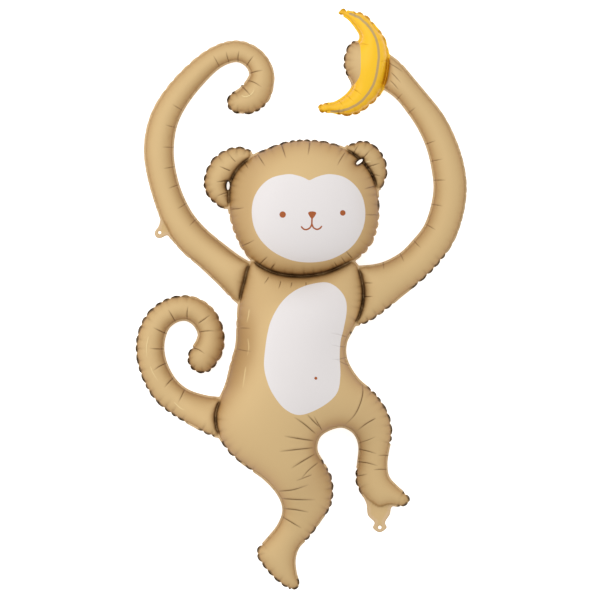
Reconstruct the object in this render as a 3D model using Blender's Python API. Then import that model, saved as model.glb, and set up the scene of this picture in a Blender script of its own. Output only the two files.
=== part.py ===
"""Monkey foil balloon holding a banana, inflated and lying on its back.

Two flat sheets of foil are cut to one outline and welded together along it. Further weld lines part the inside
into chambers: head, ears, body with legs, arms, tail, and the banana with the fist that holds it. Inflated, each
chamber bulges on both sides of the welds, which stay flat. Metres, +Z up, the face looking up.
"""

import math

import bmesh
import bpy
import numpy as np
from mathutils import Vector, geometry

# Driving dimensions
HEIGHT = 1.000  # from the banana's upper tip to the sole of the lower foot
SEAM_MARGIN = 0.005  # flat welded margin outside the inflated chambers
PARTITION_WELD = 0.0035  # weld between two chambers
WELDED_THICKNESS = 0.001  # both sheets where they are welded flat
EYELET_RADIUS = 0.0027  # punched hole in the arm's tab
VALVE_HOLE_RADIUS = 0.0030  # punched hole in the filling tab
SETTLE = 0.003  # how far the foil flattens where it rests on the floor
SLIT_MARGIN = 0.0020  # weld round the slits beside the ears
MESH_SPACING = 0.0175  # between the points of the solid's surface
SEAM_SPACING = 0.0125  # between the points along a weld
RING_DEPTHS = (0.003, 0.011)  # rows of points beside a weld, where the foil curls round
GRID = 0.0020  # squares of the grid on which the inflated height is worked out

# The outline is drawn on a squared pattern sheet: x runs right, y runs down, from the sheet's top left corner
SHEET_HEIGHT = 584.0  # squares from the banana's tip to the sole
SHEET_MIDDLE = (301.17, 299.08)
SQUARE = HEIGHT / SHEET_HEIGHT

# Chambers with an outline of their own: the line along which the foil is cut
HEAD = [
    (307, 139), (331, 142), (352, 151), (368, 165), (377, 182), (380, 203), (379, 224), (373, 243), (361, 257),
    (344, 267), (324, 275), (302, 278), (280, 276), (262, 269), (247, 257), (237, 241), (230, 222), (227, 202),
    (228, 184), (235, 169), (248, 157), (266, 148), (286, 141),
]
LEFT_EAR = [
    (252, 152), (241, 146), (227, 148), (213, 157), (205, 171), (203, 186), (210, 200), (226, 209), (242, 196),
    (250, 172),
]
RIGHT_EAR = [
    (343, 149), (354, 142), (366, 140), (378, 147), (386, 159), (388, 172), (385, 183), (378, 191), (360, 188),
    (346, 168),
]
BODY_AND_LEGS = [
    (249, 262), (242, 283), (238, 300), (236, 320), (235, 344), (230, 362), (225, 383), (218, 400), (214, 416),
    (217, 434), (229, 453), (246, 467), (264, 480), (277, 495), (282, 510), (277, 525), (265, 540), (257, 549),
    (257, 558), (266, 571), (279, 584), (292, 591), (300, 586), (297, 573), (296, 560), (300, 548), (311, 537),
    (322, 521), (331, 508), (334, 492), (332, 476), (325, 463), (318, 450), (320, 438), (329, 431), (342, 428),
    (353, 434), (358, 446), (357, 462), (355, 478), (358, 490), (367, 502), (379, 510), (391, 507), (402, 508),
    (410, 503), (409, 496), (399, 487), (390, 477), (388, 464), (390, 450), (393, 433), (389, 413), (376, 393),
    (359, 378), (348, 360), (347, 344), (353, 331), (361, 316), (365, 299), (364, 282), (357, 263), (336, 248),
    (302, 244), (268, 249),
]
BANANA_AND_FIST = [
    (338, 12), (343, 7.5), (350, 10), (360, 11), (369, 16), (377, 26), (384, 34), (388, 45), (390, 58), (389, 71),
    (386, 84), (380, 96), (370, 106), (358, 114), (345, 116), (332, 113), (322, 113), (317.5, 107.5), (322, 102.5),
    (334, 101), (345, 94), (351, 86), (349.5, 80), (345, 72), (343, 62), (345, 51), (349, 43), (354, 40), (358, 40),
    (359, 35), (355, 28), (348, 19.5), (341, 15),
]

# Chambers that are a tube of foil: (x, y, half width) along the middle, from inside the body to the tip
LEFT_ARM = [
    (262, 291, 25), (246, 283, 22), (230, 271, 18.5), (210, 254, 17), (193, 239.5, 17), (178.5, 221, 16.3),
    (167.5, 196, 15), (160.5, 170, 15), (158.5, 146, 15.3), (163, 121, 14.8), (174.5, 98.5, 14), (193, 76, 13),
    (214.5, 57.5, 11.7), (236, 50.5, 11.3), (253, 57.5, 11.6), (261.5, 73, 12.8), (257, 90, 15.5), (248, 98.5, 15.8),
    (238, 101.5, 12),
]
RIGHT_ARM = [
    (338, 296, 29), (355, 295, 31), (373, 289, 26), (392, 279.5, 20.3), (411, 267, 18.2), (426, 252, 18),
    (439, 234, 17.4), (447, 212, 17.2), (450.5, 188, 17), (447.7, 164.5, 16.7), (441, 142, 15.7), (431, 121.5, 15),
    (418, 103.5, 14), (405, 88, 14), (391, 75, 16.5), (378, 67, 18),
]
TAIL = [
    (236, 420, 19), (218, 417, 20.5), (199, 411, 17.3), (181, 403, 15.5), (166, 391, 15.3), (155.5, 374, 15),
    (150, 355, 14.8), (150.7, 337, 14.6), (158, 320.5, 13.9), (172.5, 310, 13.4), (189, 308.5, 13.3),
    (203, 317, 13.5), (210.5, 332, 13.6), (209, 347, 15.2), (202, 358.5, 15.5),
]

# Tabs of flat foil outside the chambers
EYELET_TAB = [(164, 214), (158, 226), (154, 232), (156, 237.5), (161, 238), (167, 235.5), (172, 240), (184, 236)]
EYELET_CENTRE = (159.4, 232.4)
FILLING_TAB = [
    (364, 494), (366.5, 505), (368, 516), (374.5, 523), (372.8, 528.5), (379.8, 533.3), (387.2, 528.5), (385.5, 523),
    (390.3, 515), (392, 508), (400, 500), (382, 490),
]
VALVE_HOLE_CENTRE = (380.0, 528.0)
FLAT_ROUND_EYELET = 6.5  # squares round a hole's centre in which the tab is quite flat

# Slits beside the ears: (x, y, half length, half width, direction in degrees)
SLITS = [(228, 185.5, 4.2, 1.5, 92), (359.5, 161.8, 4.0, 1.5, -38)]

# How full each chamber is: 1 gives a round tube, and a wide chamber stays flatter than that
FULLNESS = {"head": 0.85, "body": 0.88}
FULLNESS_OF_OTHERS = 0.95

# Places where the back rests on the floor: (x, y, radius) on the pattern sheet
RESTING_PLACES = [
    (304, 205, 45), (296, 345, 30), (282, 420, 38), (165, 178, 66), (250, 82, 33), (450, 190, 55), (362, 64, 42),
    (152, 350, 34), (206, 345, 26), (283, 569, 26), (383, 500, 38),
]

SPLINE_STEP = 2.0  # squares between the points of a drawn line
CAP_STEPS = 12
REACH = 0.05  # beyond this no distance is worked out
HOLE_SIDES = 12
BEND = math.radians(32)  # the most that a line turns between two points of the solid
SOLVER_STEPS = 900
SOLVER_TOLERANCE = 1e-5


def on_sheet(points):
    """Points of the pattern sheet, in metres, with x to the right and y up the figure."""
    points = np.array(points, float)
    return np.stack([points[:, 0] - SHEET_MIDDLE[0], SHEET_MIDDLE[1] - points[:, 1]], axis=1) * SQUARE


def spline(points, closed):
    """A smooth line through the points, x and y first, further values kept with them."""
    points = np.array(points, float)
    if not closed:
        points = np.vstack([2 * points[0] - points[1], points, 2 * points[-1] - points[-2]])
    count = len(points)
    spans = range(count) if closed else range(1, count - 2)
    line = []
    for k in spans:
        before, start, end, after = (points[(k + i) % count] for i in (-1, 0, 1, 2))
        steps = max(2, math.ceil(np.linalg.norm((end - start)[:2]) / SPLINE_STEP))
        t = (np.arange(steps) / steps)[:, None]
        line.append(
            start
            + 0.5 * (end - before) * t
            + (before - 2.5 * start + 2 * end - 0.5 * after) * t**2
            + 0.5 * (3 * start - before - 3 * end + after) * t**3
        )
    if not closed:
        line.append(points[-2:-1])
    return np.vstack(line)


def drawn(points):
    """A closed outline, in metres."""
    return on_sheet(spline(points, closed=True))


def tube(stations):
    """The closed outline of a tube of foil with a round tip, in metres."""
    line = spline(stations, closed=False)
    centre, half = on_sheet(line[:, :2]), line[:, 2:] * SQUARE
    along = np.gradient(centre, axis=0)
    along /= np.linalg.norm(along, axis=1)[:, None]
    side = np.stack([-along[:, 1], along[:, 0]], axis=1)
    turn = np.linspace(math.pi / 2, -math.pi / 2, CAP_STEPS)[1:-1, None]
    cap = centre[-1] + half[-1] * (np.sin(turn) * side[-1] + np.cos(turn) * along[-1])
    return np.vstack([centre + half * side, cap, (centre - half * side)[::-1]])


def evenly(loop, step):
    """A closed loop again, with points about step apart."""
    closed = np.vstack([loop, loop[:1]])
    along = np.concatenate([[0], np.cumsum(np.linalg.norm(np.diff(closed, axis=0), axis=1))])
    at = np.linspace(0, along[-1], max(8, round(along[-1] / step)), endpoint=False)
    return np.stack([np.interp(at, along, closed[:, k]) for k in (0, 1)], axis=1)


def spaced(loop, step):
    """A closed loop again, with points a step apart, and closer where it bends."""
    fine = evenly(loop, step / 5)
    ahead = np.roll(fine, -1, axis=0) - fine
    heading = np.unwrap(np.arctan2(ahead[:, 1], ahead[:, 0]))
    kept = [0]
    for k in range(1, len(fine) - 1):
        if k - kept[-1] >= 5 or abs(heading[k] - heading[kept[-1]]) > BEND:
            kept.append(k)
    return fine[kept]


def signed_distance(points, loop):
    """Distance from each point to a closed loop, negative inside it. Far from the loop it is only a large number."""
    near = ((points > loop.min(axis=0) - REACH) & (points < loop.max(axis=0) + REACH)).all(axis=1)
    distance = np.full(len(points), REACH)
    distance[near] = distance_to_loop(points[near], loop)
    return distance


def distance_to_loop(points, loop):
    """Distance from each point to a closed loop, negative inside it, worked out side by side of the loop."""
    start, end = loop, np.roll(loop, -1, axis=0)
    x, y = points.T
    nearest, inside = np.full(len(points), np.inf), np.zeros(len(points), bool)
    for a, b in zip(start, end):
        span = b - a
        share = np.clip(((points - a) @ span) / max(span @ span, 1e-18), 0, 1)
        off = points - a - share[:, None] * span
        nearest = np.minimum(nearest, (off * off).sum(axis=1))
        if a[1] != b[1]:
            crossing = (a[1] > y) != (b[1] > y)
            inside ^= crossing & (x < a[0] + (y - a[1]) * span[0] / span[1])
    return np.where(inside, -1, 1) * np.sqrt(nearest)


def chamber_outlines():
    """Each chamber's outline. A chamber is cut short by those before it."""
    return {
        "head": drawn(HEAD),
        "banana": drawn(BANANA_AND_FIST),
        "body": drawn(BODY_AND_LEGS),
        "left_ear": drawn(LEFT_EAR),
        "right_ear": drawn(RIGHT_EAR),
        "left_arm": tube(LEFT_ARM),
        "right_arm": tube(RIGHT_ARM),
        "tail": tube(TAIL),
    }


def slit(x, y, half_length, half_width, direction):
    """The closed outline of a slit, in metres."""
    turn = np.linspace(0, 2 * math.pi, HOLE_SIDES, endpoint=False)
    along, across = half_length * np.cos(turn), half_width * np.sin(turn)
    c, s = math.cos(math.radians(direction)), math.sin(math.radians(direction))
    return on_sheet(np.stack([x + along * c - across * s, y + along * s + across * c], axis=1))


def punched(centre, radius):
    """The closed outline of a punched hole, in metres."""
    turn = np.linspace(0, 2 * math.pi, HOLE_SIDES, endpoint=False)
    return on_sheet([centre]) + radius * np.stack([np.cos(turn), np.sin(turn)], axis=1)


class Pattern:
    """The flat pattern: what is foil, and which of it is inflated."""

    def __init__(self):
        self.chambers = chamber_outlines()
        self.tabs = [drawn(EYELET_TAB), drawn(FILLING_TAB)]
        self.slits = [slit(*numbers) for numbers in SLITS]
        eyelets = [punched(EYELET_CENTRE, EYELET_RADIUS), punched(VALVE_HOLE_CENTRE, VALVE_HOLE_RADIUS)]
        self.holes = self.slits + eyelets

    def foil(self, points):
        """Negative on the foil, tabs and margins included."""
        return np.minimum.reduce([signed_distance(points, loop) for loop in [*self.chambers.values(), *self.tabs]])

    def in_hole(self, points):
        """Negative inside a hole or a slit."""
        return np.minimum.reduce([signed_distance(points, loop) for loop in self.holes])

    def inflated(self, points):
        """Negative where a chamber is inflated, for each chamber."""
        slits = np.minimum.reduce([signed_distance(points, loop) for loop in self.slits])
        found, before = {}, np.full(len(points), REACH)
        for name, loop in self.chambers.items():
            inside = np.maximum(signed_distance(points, loop) + SEAM_MARGIN, SLIT_MARGIN - slits)
            found[name] = np.maximum(inside, PARTITION_WELD - before)
            before = np.minimum(before, inside)
        return found


class Grid:
    """A grid over the whole figure, with values read between its points."""

    def __init__(self, step):
        reach = HEIGHT / 2 + 8 * step
        self.step = step
        self.x = np.arange(-0.62 * reach, 0.62 * reach, step)
        self.y = np.arange(-reach, reach, step)
        self.shape = (len(self.y), len(self.x))
        self.points = np.stack(np.meshgrid(self.x, self.y), axis=-1).reshape(-1, 2)

    def read(self, values, points):
        values = values.reshape(self.shape)
        place = np.clip((points - (self.x[0], self.y[0])) / self.step, 0, np.array(self.shape)[::-1] - 1.001)
        column, row = np.floor(place).astype(int).T
        right, up = (place - np.floor(place)).T
        low = values[row, column] * (1 - right) + values[row, column + 1] * right
        high = values[row + 1, column] * (1 - right) + values[row + 1, column + 1] * right
        return low * (1 - up) + high * up

    def contours(self, values, level):
        """Closed lines on which the values reach the level, the lower side on their left."""
        values = values.reshape(self.shape) - level
        low = values < 0
        mixed = low[:-1, :-1].astype(int) + low[:-1, 1:] + low[1:, 1:] + low[1:, :-1]
        following = {}
        for row, column in zip(*np.nonzero((mixed > 0) & (mixed < 4))):
            corners = [(row, column), (row, column + 1), (row + 1, column + 1), (row + 1, column)]
            sides = [(corners[k], corners[(k + 1) % 4]) for k in range(4)]
            leaving = [side for side in sides if low[side[0]] and not low[side[1]]]
            entering = [side for side in sides if not low[side[0]] and low[side[1]]]
            for end, start in zip(leaving, entering):
                following[tuple(sorted(end))] = tuple(sorted(start))
        lines = []
        while following:
            first = side = next(iter(following))
            line = []
            while side in following:
                (a, b), side = side, following.pop(side)
                share = values[a] / (values[a] - values[b])
                row, column = (a[k] + share * (b[k] - a[k]) for k in (0, 1))
                line.append((self.x[0] + column * self.step, self.y[0] + row * self.step))
            if side == first and len(line) > 8:
                lines.append(np.array(line))
        return lines


def inflate(grid, inside):
    """Half the inflated height squared, over the distance to the weld, on the grid.

    The foil stands up like a film that the air lifts off the plane of the welds. Its height squared is worked out
    from the film's equation, and is kept as a share of the distance to the weld, which changes smoothly up to it.
    """
    film = (inside < -0.2 * grid.step).reshape(grid.shape)

    def pull(u):
        out = 4 * u
        out[1:] -= u[:-1]
        out[:-1] -= u[1:]
        out[:, 1:] -= u[:, :-1]
        out[:, :-1] -= u[:, 1:]
        return np.where(film, out, 0)

    lift = np.where(film, grid.step**2, 0.0)
    u, rest = np.zeros(grid.shape), lift.copy()
    heading, size = rest.copy(), (rest * rest).sum()
    target = size * SOLVER_TOLERANCE**2
    for _ in range(SOLVER_STEPS):
        if size <= target:
            break
        pulled = pull(heading)
        step = size / (heading * pulled).sum()
        u += step * heading
        rest -= step * pulled
        size, before = (rest * rest).sum(), size
        heading = rest + size / before * heading
    share = np.where(film, 2 * u / np.maximum(-inside.reshape(grid.shape), 0.6 * grid.step), 0)
    known = film.astype(float)
    for _ in range(6):
        around_share, around = np.zeros(grid.shape), np.zeros(grid.shape)
        for rows, columns in ((1, 0), (-1, 0), (0, 1), (0, -1)):
            around_share += np.roll(share * known, (rows, columns), (0, 1))
            around += np.roll(known, (rows, columns), (0, 1))
        spread = (known == 0) & (around > 0)
        share[spread] = around_share[spread] / around[spread]
        known[spread] = 1
    return share


class Envelope:
    """The inflated envelope: the height of its welds over the floor, and of the foil over the welds."""

    def __init__(self, step=GRID):
        self.pattern = Pattern()
        self.grid = Grid(step)
        self.fields = self.pattern.inflated(self.grid.points)
        self.share = {name: inflate(self.grid, inside) for name, inside in self.fields.items()}
        self.rests = []
        for x, y, radius in RESTING_PLACES:
            centre = on_sheet([(x, y)])[0]
            around = np.linalg.norm(self.grid.points - centre, axis=1) < 0.8 * radius * SQUARE
            height = self.half_height(self.grid.points[around]).max() - SETTLE
            self.rests.append((centre, radius * SQUARE, height))

    def half_height(self, points):
        """Height of the upper foil over the welds."""
        height = np.full(len(points), WELDED_THICKNESS / 2)
        for name, inside in self.pattern.inflated(points).items():
            share = np.maximum(self.grid.read(self.share[name], points), 0)
            fullness = FULLNESS.get(name, FULLNESS_OF_OTHERS)
            height += fullness * np.sqrt(share * np.maximum(-inside, 0))
        return height

    def weld_height(self, points):
        """Height of the welds over the floor: each part sinks until it rests there."""
        for tab in on_sheet([EYELET_CENTRE, VALVE_HOLE_CENTRE]):
            away = np.linalg.norm(points - tab, axis=1) / (FLAT_ROUND_EYELET * SQUARE)
            kept = np.clip(away - 1, 0, 1) ** 2 * (3 - 2 * np.clip(away - 1, 0, 1))
            points = tab + (points - tab) * kept[:, None]
        total, weights = np.zeros(len(points)), np.zeros(len(points))
        for centre, radius, height in self.rests:
            weight = (((points - centre) ** 2).sum(axis=1) / radius**2 + 0.25) ** -2.5
            total += weight * height
            weights += weight
        return total / weights


def solid(envelope):
    """The envelope's surface: points over the pattern, joined into triangles, once above and once below."""
    grid, pattern = envelope.grid, envelope.pattern
    outlines = [spaced(line, SEAM_SPACING) for line in grid.contours(pattern.foil(grid.points), 0)]
    welds = [spaced(line, SEAM_SPACING) for field in envelope.fields.values() for line in grid.contours(field, 0)]
    outlines += pattern.holes
    points, edges = [], []
    for loop in outlines + welds:
        first = len(points)
        points += list(loop)
        edges += [(first + k, first + (k + 1) % len(loop)) for k in range(len(loop))]
    foil_edge_points = sum(len(loop) for loop in outlines)

    inside = np.minimum.reduce(list(envelope.fields.values()))
    rows = [line for depth in RING_DEPTHS for line in grid.contours(inside, -depth)]
    rings = [point for depth_row in rows for point in evenly(depth_row, SEAM_SPACING)]
    across, down = np.arange(-0.6, 0.6, MESH_SPACING), np.arange(-0.6, 0.6, MESH_SPACING * math.sqrt(3) / 2)
    lattice = np.array([(x + (k % 2) * MESH_SPACING / 2, y) for k, y in enumerate(down) for x in across])
    within = (np.abs(lattice) < (0.58 * HEIGHT / 2, HEIGHT / 2)).all(axis=1)
    lattice = lattice[within]
    deep = grid.read(inside, lattice) < -(RING_DEPTHS[-1] + 0.5 * MESH_SPACING)
    for candidates, room in ((rings, 0.0022), (list(lattice[deep]), 0.5 * MESH_SPACING)):
        known = np.array(points)
        kept = []
        for point in candidates:
            apart = np.linalg.norm(known - point, axis=1).min()
            if apart > room and all(math.dist(point, other) > 0.55 * SEAM_SPACING for other in kept[-3:]):
                kept.append(point)
        points += kept

    joined = geometry.delaunay_2d_cdt([Vector(point) for point in points], edges, [], 0, 1e-7)
    flat = np.array([tuple(point) for point in joined[0]])
    triangles = np.array([face for face in joined[2] if len(face) == 3])
    middles = flat[triangles].mean(axis=1)
    triangles = triangles[(pattern.foil(middles) < 0) & (pattern.in_hole(middles) > 0)]
    return flat, triangles


def closed_body(envelope, flat, triangles):
    """Upper and lower foil joined round the outline."""
    height, weld = envelope.half_height(flat), envelope.weld_height(flat)
    upper = np.column_stack([flat, weld + height])
    lower = np.column_stack([flat, np.maximum(weld - height, 0)])
    count = len(flat)
    faces = [tuple(face) for face in triangles] + [tuple(face[::-1] + count) for face in triangles]
    edges = {(a, b) for face in triangles for a, b in zip(face, np.roll(face, -1))}
    for a, b in sorted(edges):
        if (b, a) not in edges:
            faces += [(a, a + count, b + count), (a, b + count, b)]
    return np.vstack([upper, lower]), faces


def foil_material():
    """Satin beige foil."""
    material = bpy.data.materials.new("satin_beige_foil")
    material.use_nodes = True
    shader = material.node_tree.nodes["Principled BSDF"]
    shader.inputs["Base Color"].default_value = (0.63, 0.45, 0.23, 1)
    shader.inputs["Metallic"].default_value = 0.3
    shader.inputs["Roughness"].default_value = 0.38
    return material


def build():
    """The balloon in a collection of its own."""
    for thing in list(bpy.data.objects):
        bpy.data.objects.remove(thing, do_unlink=True)
    envelope = Envelope()
    points, faces = closed_body(envelope, *solid(envelope))
    mesh = bpy.data.meshes.new("monkey_balloon")
    mesh.from_pydata([tuple(point) for point in points], [], [tuple(int(k) for k in face) for face in faces])
    mesh.materials.append(foil_material())
    bm = bmesh.new()
    bm.from_mesh(mesh)
    loose = [vertex for vertex in bm.verts if not vertex.link_faces]
    bmesh.ops.delete(bm, geom=loose, context="VERTS")
    bmesh.ops.recalc_face_normals(bm, faces=bm.faces)
    bm.to_mesh(mesh)
    bm.free()
    mesh.shade_smooth()
    balloon = bpy.data.objects.new("monkey_balloon", mesh)
    collection = bpy.data.collections.new("monkey_foil_balloon")
    bpy.context.scene.collection.children.link(collection)
    collection.objects.link(balloon)


build()
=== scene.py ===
import math
import random

import bmesh
import bpy
import numpy as np
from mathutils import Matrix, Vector, geometry, kdtree


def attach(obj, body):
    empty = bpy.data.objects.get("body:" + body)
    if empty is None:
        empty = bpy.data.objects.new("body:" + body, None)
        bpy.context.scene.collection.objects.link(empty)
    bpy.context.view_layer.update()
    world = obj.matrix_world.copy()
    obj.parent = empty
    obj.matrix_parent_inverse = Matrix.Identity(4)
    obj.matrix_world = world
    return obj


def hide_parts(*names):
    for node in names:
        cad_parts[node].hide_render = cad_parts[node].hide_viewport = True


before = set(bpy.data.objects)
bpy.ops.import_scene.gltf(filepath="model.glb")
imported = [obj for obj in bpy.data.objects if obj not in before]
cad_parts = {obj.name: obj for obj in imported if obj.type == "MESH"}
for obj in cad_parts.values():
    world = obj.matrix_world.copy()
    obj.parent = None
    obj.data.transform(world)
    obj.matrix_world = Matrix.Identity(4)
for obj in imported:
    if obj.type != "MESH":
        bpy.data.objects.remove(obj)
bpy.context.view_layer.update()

# Driving dimensions
HEIGHT = 1.000  # from the banana's upper tip to the sole of the lower foot
SEAM_MARGIN = 0.005  # flat welded margin outside the inflated chambers
PARTITION_WELD = 0.0035  # weld between two chambers
WELDED_THICKNESS = 0.001  # both sheets where they are welded flat
EYELET_RADIUS = 0.0027  # punched hole in the arm's tab
VALVE_HOLE_RADIUS = 0.0030  # punched hole in the filling tab
SETTLE = 0.003  # how far the foil flattens where it rests on the floor
SLIT_MARGIN = 0.0020  # weld round the slits beside the ears

THIN = 0.0004  # both sheets where they are welded, as drawn
FINE_GRID = 0.0020  # squares of the grid on which the inflated height is worked out
FRONT_STEP = 0.0025  # between the points of the front foil
BACK_STEP = 0.0055  # between the points of the back foil
SEAM_STEP = 0.0005  # between the points along a weld

# Puckers along the welds, in metres unless the comment says otherwise
PUCKER_SPACING = 0.0172  # between puckers, on average
PUCKER_GAPS = (0.72, 1.30)  # how many spacings lie between two puckers
PUCKER_STRENGTHS = (0.65, 1.0)  # the weakest and the strongest
PUCKER_RUNS = (0.6, 1.5)  # how many runs a pucker goes on into the chamber
FIRST_PUCKER = 0.3  # spacings from a weld's start
PUCKER_WIDTH = 0.0026  # to each side of a pucker's middle, at the weld
PUCKER_WIDENING = 0.25  # metres a metre into the chamber
PUCKER_RUN = 0.0052  # how far a pucker runs from its weld into the chamber
PUCKER_FOLD = 1.5  # powers: how sharp a pucker is across, and how suddenly it ends
PUCKER_END = 1.3
FAINTEST_PUCKER = 0.03  # share of a pucker that is there on a straight or hollow weld too
PUCKER_CUT = 0.22  # share of the foil's height that a pucker takes away
PUFF = 0.05  # share of the foil's height that it gains between puckers
PUFF_RUN = 0.7  # how many runs that gain goes on
BEND_REACH = 0.010  # length of weld over which its bend is averaged
NO_PUCKERS_BEND = -1.0  # radians a metre, negative where the weld bends inwards
FULL_PUCKERS_BEND = 3.0
TIGHT_BEND = 110  # puckers are half as strong here, because foil bunches less round a tight tip
LEAST_AT_TIP = 0.2  # share of their strength that is left at the tightest tip
CALM_FADE = 0.6  # radii over which a calm place ends
OUTLINE_SEED = 10  # for the random gaps along the outlines, and next along the chambers' welds
WELD_SEED = 100

# The welded margin, in metres
OUTLINE_INSET = 0.0004  # the cut edge lies this far inside the solid's
NOTCH_WIDTH = 0.0017  # of the nick in the edge at a pucker
NOTCH_DEPTH = 0.0019
SCALLOP_INSET = 0.0023  # how far the edge is drawn in at a pucker, the nick aside
SCALLOP_ROUNDNESS = 1.6
FILLED_OUT = 0.0016  # how far the foil bulges over its weld
FILLED_OUT_REACH = 0.009  # how far into the chamber that bulge reaches
FILLED_AT_PUCKER = 0.3  # shares of that bulge at a pucker, and along a weld without puckers
FILLED_WHERE_CALM = 0.5
TURNED_BACK = 0.0034  # how far the margin bends down between puckers
TURNED_AT_PUCKER = 0.4  # share of that bend at a pucker
TURNED_CURVE = 1.2
TAB_START = 0.0075  # foil further from a chamber than this is a tab
TAB_FADE = 0.002
OUTLINE_SLACK = 0.0015  # a weld this much further from the outline than the margin is still on it
OUTLINE_FADE = 0.005
ARC_WIDTH = 0.0070  # how far out from a chamber the turned margin gets painted shade, standing in for the dark it reflects
ARC_FADE = 0.0015
ARC_START = 0.0006
ARC_GAIN = 1.25
ARC_GROWTH = 4.0  # how fast an arc darkens away from a pucker, and how much is left pale beside it
ARC_GAP = 0.4
FLAT_MARGIN = 0.0062  # how far in from the edge the flat margin is pale
FLAT_MARGIN_FADE = 0.002
RIM_REACH = 0.0065  # how far into a chamber the painted shade beside its weld reaches
RIM_START = 0.0004
WELD_DARK = 0.0002  # how far into a chamber the painted shade beside a weld between chambers is full, and how far it fades
WELD_SHADE_REACH = 0.0011
BETWEEN_START = 0.001  # a weld this much deeper in the foil than the margin is one between chambers
BETWEEN_FADE = 0.003
UNEVENNESS = 0.22  # share of the painted shade beside such a weld that comes and goes along it
WAVES = ((120, 0.7), (170, -0.4))  # radians a metre along one direction of the sheet, and how that one slants

# Creases, in half widths across a crease and in shares of its length along it
CREASE_REACH = 4  # how far off a crease is still worked out
CREASE_LINE = 0.62  # half width of its painted shade line
CREASE_START = 0.18  # length over which it deepens, and over which it runs out
CREASE_END = 0.45
CREASE_START_CURVE = 0.5
CREASE_END_CURVE = 0.8
VALLEY_CURVE = 1.25
FAINTEST_LINE = 0.35  # how dark the painted line of the shallowest crease is (shade along a crease, highlight along a raised wrinkle), and what a millimetre of depth adds
LINE_A_MILLIMETRE = 0.6
MILLIMETRE = 0.001
RIDGE_HEIGHT = 0.32  # share of the depth by which the foil stands up beside it, how far off and how wide
RIDGE_PLACE = 1.7
RIDGE_WIDTH = 0.8
CREASE_OFFSETS = (0, 0.5, -0.5, 1, -1, 1.8, -1.8)  # where the mesh gets points across a crease

# Points of the mesh: steps of drawn lines in squares of the sheet, all else in metres
CREASE_STEP = 0.6
CREASE_POINT_STEP = 0.5
FIST_EDGE_STEP = 0.9
STROKE_STEP = 0.8
STROKE_END_STEPS = 7
DOT_SIDES = 20
FACE_STEP = 0.0016
BELLY_STEP = 0.0018
NOSE_STEP = 0.0008
FRONT_RINGS = (0.0, 0.0005, 0.0014, 0.0028, 0.0045)  # depths inside the welds at which rings of points lie
BACK_RINGS = (0.0, 0.0008, 0.0026, 0.0055)
FRONT_RING_STEP = 0.0016
BACK_RING_STEP = 0.0026
RING_ROOM = 0.45 * FRONT_RING_STEP  # least room between points
CREASE_ROOM = 0.0005
CREASE_INSET = 0.001  # points keep this far from the cut edge
NET_INSET = 0.0008
NET_ROOM = 0.62  # least room between points, in steps
LATTICE_REACH = (0.3, 0.51)  # half the width and half the height that the net covers

# Looks: the printed colours' places in the mesh, and how strongly each layer of a foil's colour shows; but
# for the pale flat margin, these layers are painted shade and painted highlight
BEIGE, WHITE, YELLOW, BROWN, GREY = range(5)
STEEP_POWER = 1.7  # how suddenly the painted shade comes in where the foil turns away
STEEP_SHADE = 0.95
RIM_SHADE = 0.42
MARGIN_SHARE = 0.75
GLINT_SHARE = 0.8
# how strongly the painted shade of each kind of fold and weld shows
FOLD_SHARES = {"partition_shade": 0.82, "crease": 0.88, "pucker": 0.45, "turned_margin_shade": 0.97}
FOLD_METALLIC = 0.9  # metallic where a fold's painted shade is full

# Studio
FLOOR_SIZE = 12
FLOOR_GAP = 0.0005  # the floor lies this far below the balloon, so that they don't flicker
VIEW_SQUARES = 600  # width of the picture, in squares of the pattern sheet
CAMERA_HEIGHT = 12.0
SEAM_PLANE = 0.05  # height over the floor that the picture's width is measured at
SENSOR_WIDTH = 36

# The outline is drawn on a squared pattern sheet: x runs right, y runs down, from the sheet's top left corner
SHEET_HEIGHT = 584.0  # squares from the banana's tip to the sole
SHEET_MIDDLE = (301.17, 299.08)
SQUARE = HEIGHT / SHEET_HEIGHT

# Chambers with an outline of their own: the line along which the foil is cut
HEAD = [
    (307, 139), (331, 142), (352, 151), (368, 165), (377, 182), (380, 203), (379, 224), (373, 243),
    (361, 257), (344, 267), (324, 275), (302, 278), (280, 276), (262, 269), (247, 257), (237, 241),
    (230, 222), (227, 202), (228, 184), (235, 169), (248, 157), (266, 148), (286, 141),
]
LEFT_EAR = [
    (252, 152), (241, 146), (227, 148), (213, 157), (205, 171), (203, 186), (210, 200), (226, 209),
    (242, 196), (250, 172),
]
RIGHT_EAR = [
    (343, 149), (354, 142), (366, 140), (378, 147), (386, 159), (388, 172), (385, 183), (378, 191),
    (360, 188), (346, 168),
]
BODY_AND_LEGS = [
    (249, 262), (242, 283), (238, 300), (236, 320), (235, 344), (230, 362), (225, 383), (218, 400),
    (214, 416), (217, 434), (229, 453), (246, 467), (264, 480), (277, 495), (282, 510), (277, 525),
    (265, 540), (257, 549), (257, 558), (266, 571), (279, 584), (292, 591), (300, 586), (297, 573),
    (296, 560), (300, 548), (311, 537), (322, 521), (331, 508), (334, 492), (332, 476), (325, 463),
    (318, 450), (320, 438), (329, 431), (342, 428), (353, 434), (358, 446), (357, 462), (355, 478),
    (358, 490), (367, 502), (379, 510), (391, 507), (402, 508), (410, 503), (409, 496), (399, 487),
    (390, 477), (388, 464), (390, 450), (393, 433), (389, 413), (376, 393), (359, 378), (348, 360),
    (347, 344), (353, 331), (361, 316), (365, 299), (364, 282), (357, 263), (336, 248), (302, 244),
    (268, 249),
]
BANANA_AND_FIST = [
    (338, 12), (343, 7.5), (350, 10), (360, 11), (369, 16), (377, 26), (384, 34), (388, 45), (390, 58),
    (389, 71), (386, 84), (380, 96), (370, 106), (358, 114), (345, 116), (332, 113), (322, 113),
    (317.5, 107.5), (322, 102.5), (334, 101), (345, 94), (351, 86), (349.5, 80), (345, 72), (343, 62),
    (345, 51), (349, 43), (354, 40), (358, 40), (359, 35), (355, 28), (348, 19.5), (341, 15),
]

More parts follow.
